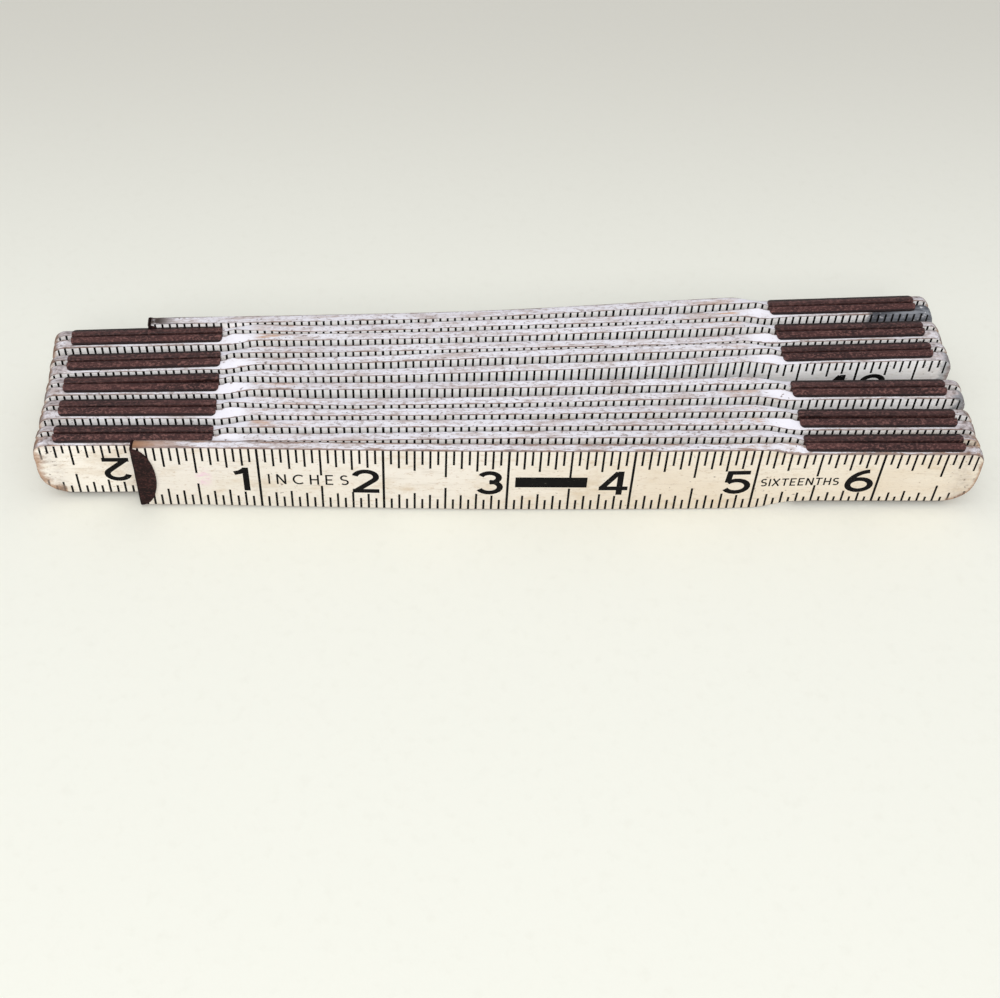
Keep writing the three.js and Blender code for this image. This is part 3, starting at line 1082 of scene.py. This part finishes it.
def bare_wood(n):
    """Browned hardwood, darker along its sharp edges, partly painted shade of the arris lines, and at
    the last section's capped end.
    """
    wood = n.mix(n.grain, (134, 88, 60), (196, 150, 112))
    wood = n.stain(wood, n.blot, 0.45, 0.7, 1.0, (112, 82, 66))
    if n.number == SECTION_COUNT:
        wood = n.mix(n.step(n.x, 12, 8), wood, (64, 54, 50))
    # Dark arris line, partly painted shade, faded out near the second section's tip
    dark_arris_share = n.step(n.to_tip, 4, 9, 0.0, 0.8) if n.number == 2 else 0.8
    return n.mix(n.both(n.arris, dark_arris_share), wood, (84, 66, 58))


def stained_ends(n, colour):
    """Grey-blue grime in the right ends of a few sections, and a pink stain on the first."""
    reach, strength = GRIME.get(n.number, (0, 0))
    if strength:
        ended = n.math("ADD", n.to_right_tip, n.both(n.ragged, 8))
        streaks = n.mix(n.step(n.smear, 0.4, 0.62), (140, 143, 150), (72, 74, 80))
        streaks = n.stain(streaks, n.spot, 0.6, 0.7, 1.0, (205, 205, 208))
        colour = n.mix(n.both(n.step(ended, reach + 1.5, reach), strength), colour, streaks)
    if n.number == 1:
        spread = n.both(n.near(n.x, 13.8, 2.4), n.near(n.z, 0.0, 3.6), n.step(n.blot, 0.42, 0.6))
        colour = n.mix(n.both(spread, 0.55), colour, (240, 176, 222))
    return colour


def section_material(number):
    """Cream paint over hardwood, with whiter long edges, black print and wear, and painted light and
    shade: light from above on the edges, lifted faces inside the stack, shade past the plates and
    along the arrises.
    """
    n = WoodNodes(number)
    colour = soiled(n, n.mix(n.edge, face_paint(n), edge_paint(n)))
    bare = bareness(n)
    colour = n.mix(bare, colour, bare_wood(n))
    sawn = n.mix(n.step(n.blot, 0.4, 0.6), (70, 48, 36), (128, 92, 68))
    colour = n.mix(n.both(n.grain_end, n.step(n.cloud, 0.62, 0.5, 0.35, 0.95)), colour, sawn)
    colour = stained_ends(n, colour)

    # Print: black, thinned a little where it has rubbed
    cover = n.step(n.noise(0.4, 4, (2, 1, 1), 10, 0.7), 0.74, 0.64, 0.4, 1.0)
    printed = n.both(n.ink, cover, n.math("SUBTRACT", 1.0, n.both(bare, 0.7)))
    colour = n.mix(printed, colour, n.mix(n.cloud, (9, 9, 10), (17, 15, 15)))

    n.link(n.step(printed, 0.0, 1.0, 0.4, 0.08), n.shader.inputs["Specular IOR Level"])
    roughness = n.add(0.5, n.both(n.cloud, 0.2), n.both(bare, 0.2))
    height = n.add(n.both(n.fine, 0.5), n.both(n.grain, 0.5), n.both(bare, -0.8))
    height = n.add(height, n.both(n.dirt, -0.4), n.both(n.smear, 0.3))
    return n.finish(colour, roughness, height, 0.1)


def tarnished(name, dark, middle, light, metallic, roughness, specular=0.5):
    """Sheet metal gone brown: speckled, streaked along its length and mottled darker, with painted
    shade at its bends, nearly black painted shade at its lips, and lighter cut edges that are partly
    rubbed metal and partly a painted highlight.
    """
    n = Nodes(name)
    bend = n.attribute("edge")
    rim = n.attribute("worn")
    lip_shade = n.attribute("end")
    speck = n.noise(0.42, 3, (1.5, 1, 1), 1, 0.7)
    cloud = n.noise(3.5, 4, (2.5, 1, 1), 2, 0.6)
    scratch = n.noise(0.25, 3, (26, 1, 1), 3, 0.6)
    pit = n.noise(0.3, 2, (1, 1, 1), 4, 0.5)
    colour = n.mix(n.step(cloud, 0.35, 0.65), dark, middle)
    colour = n.stain(colour, speck, 0.48, 0.64, 0.85, light)
    colour = n.stain(colour, scratch, 0.56, 0.7, 0.35, light)
    colour = n.stain(colour, pit, 0.6, 0.7, 0.75, tuple(c * 0.55 for c in dark))
    # Painted shade at the bends and the boss ring: the dark line where the two plates of a joint meet
    colour = n.mix(n.both(bend, 0.55), colour, tuple(c * 0.5 for c in dark))
    # Lighter cut edges: partly rubbed metal, partly a painted highlight along them
    colour = n.mix(n.both(rim, n.step(speck, 0.45, 0.6), 0.3), colour, light)
    # Painted shade, nearly black, over the lips, with darker tarnish mottled in by the cloud noise
    lip_shade_and_mottling = n.step(n.add(lip_shade, n.both(n.math("SUBTRACT", cloud, 0.5), 0.8)), 0.05, 0.35)
    colour = n.mix(n.both(lip_shade_and_mottling, 0.85), colour, tuple(c * 0.45 for c in dark))
    rough = n.add(roughness, n.both(cloud, 0.15), n.both(pit, 0.1))
    height = n.add(n.both(speck, 0.6), n.both(scratch, 0.4), n.both(n.step(pit, 0.58, 0.7), -0.8))
    n.shader.inputs["Metallic"].default_value = metallic
    n.shader.inputs["Specular IOR Level"].default_value = specular
    return n.finish(colour, rough, height, 0.06)


def floor_material():
    n = Nodes("pale_floor")
    cloud = n.noise(180, 3)
    fine = n.noise(2.5, 4)
    colour = n.mix(cloud, (245, 245, 235), (240, 240, 229))
    colour = n.stain(colour, fine, 0.5, 0.8, 0.25, (231, 230, 218))
    # Darker towards the back: painted shade, the light falling off across the floor
    colour = n.stain(colour, n.y, -10, 190, 0.85, (212, 209, 199))
    return n.finish(colour, 0.7, fine, 0.05)


# -------- assembly


def build_rule():
    plate_finish = tarnished("tarnished_plate", (52, 30, 30), (83, 50, 48), (136, 94, 88), 0.5, 0.42)
    cap_finish = tarnished("tarnished_cap", (24, 10, 10), (38, 18, 17), (72, 42, 39), 0.0, 0.7, 0.2)
    rivet_finish = tarnished("old_brass", (96, 74, 44), (128, 100, 58), (176, 146, 92), 0.9, 0.35)
    washer_finish = tarnished("spring_steel", (92, 88, 84), (120, 116, 110), (164, 160, 152), 0.95, 0.3)
    places = {number: section_place(number) for number in range(1, SECTION_COUNT + 1)}
    for number, place in places.items():
        body = f"leaf_{number:02d}"
        mesh = section_mesh(number)
        finish = section_material(number)
        node = f"section_{number:02d}"
        add_piece(f"wood_{number:02d}", mesh, place, body, node, finish)
        plates = []
        if number < SECTION_COUNT:
            outside = SECTION_THICKNESS + FIT_GAP
            plates.append(("back", end_pivot(number), outside, 0, number, BACK_LIP_SHADE))
        if number > 1:
            seed = number + FRONT_PLATE_SEED
            plates.append(("front", start_pivot(number), -FIT_GAP, math.pi, seed, FRONT_LIP_SHADE))
        for face, pivot, y, turn, seed, lip_shade_width in plates:
            at = Matrix.Translation(Vector((pivot, y, 0)) * MM) @ Matrix.Rotation(turn, 4, "Z")
            name = f"joint_plate_{face}_{number:02d}"
            node = f"plate_{face}_{number:02d}"
            mesh = plate_mesh(name, seed, lip_shade_width)
            add_piece(name, mesh, place @ at, body, node, plate_finish)
        if is_free_ended(number):
            which = "first" if number == 1 else "last"
            mesh = cap_mesh(f"end_cap_{which}", number)
            at = Matrix.Translation(Vector((0, -warp_at(number, 0), 0)) * MM)
            add_piece(f"end_cap_{which}", mesh, place @ at, body, f"cap_{which}", cap_finish)

    for joint in range(1, SECTION_COUNT):
        body = f"leaf_{joint:02d}"
        turn = places[joint].to_quaternion().slerp(places[joint + 1].to_quaternion(), 0.5)
        place = Matrix.Translation(joint_centre(joint)) @ turn.to_matrix().to_4x4()
        name = f"pivot_rivet_{joint:02d}"
        mesh = rivet_mesh(name, joint_play(joint))
        add_piece(name, mesh, place, body, f"rivet_{joint:02d}", rivet_finish)
        name = f"spring_washer_{joint:02d}"
        mesh = washer_mesh(name)
        add_piece(name, mesh, place, body, f"washer_{joint:02d}", washer_finish)


FLOOR_SIZE = 8.0
SKY_COLOUR = (0.95, 0.97, 1.0, 1.0)
SKY_STRENGTH = 0.64

# Square lights that look at the origin: name, place in metres, size, watts and colour
LIGHTS = [
    ("key", (-0.12, -0.1, 0.86), 0.5, 0.9, (1.0, 0.985, 0.96)),
    ("fill", (-0.05, -0.85, 0.82), 0.6, 6.0, (1.0, 0.98, 0.95)),
]


def build_stage():
    mesh = bpy.data.meshes.new("floor")
    half = FLOOR_SIZE / 2
    corners = [(-half, -half, 0), (half, -half, 0), (half, half, 0), (-half, half, 0)]
    mesh.from_pydata(corners, [], [(0, 1, 2, 3)])
    mesh.materials.append(floor_material())
    floor = new_object("floor", mesh)

    world = bpy.data.worlds.new("studio")
    bpy.context.scene.world = world
    world.use_nodes = True
    background = world.node_tree.nodes["Background"]
    background.inputs["Color"].default_value = SKY_COLOUR
    background.inputs["Strength"].default_value = SKY_STRENGTH

    for name, place, size, energy, colour in LIGHTS:
        light = bpy.data.lights.new(name, "AREA")
        light.size = size
        light.energy = energy
        light.color = colour
        lamp = new_object(name, light)
        lamp.location = place
        lamp.rotation_euler = (-Vector(place)).to_track_quat("-Z", "Y").to_euler()


# Place, lens and sensor in millimetres, turns in degrees, nearest and farthest in metres
CAMERA_PLACE = (-17.68, -226.21, 234.85)
CAMERA_DOWN = 48.971
CAMERA_YAW = -0.840
CAMERA_ROLL = 0.469
LENS = 53.3052
SENSOR = 36.0
SHIFT = 0.066
NEAREST = 0.01
FARTHEST = 20


def build_camera():
    data = bpy.data.cameras.new("camera")
    data.sensor_width = SENSOR
    data.lens = LENS
    data.shift_x = SHIFT
    data.clip_start = NEAREST
    data.clip_end = FARTHEST
    camera = new_object("camera", data)
    place = Matrix.Translation(Vector(CAMERA_PLACE) * MM)
    for degrees, axis in ((CAMERA_YAW, "Z"), (90 - CAMERA_DOWN, "X"), (CAMERA_ROLL, "Z")):
        place = place @ Matrix.Rotation(math.radians(degrees), 4, axis)
    camera.matrix_world = place
    bpy.context.scene.camera = camera


build_rule()
build_stage()
build_camera()
bpy.context.scene.view_settings.view_transform = "Standard"
bpy.context.scene.view_settings.look = "None"

bpy.context.view_layer.update()
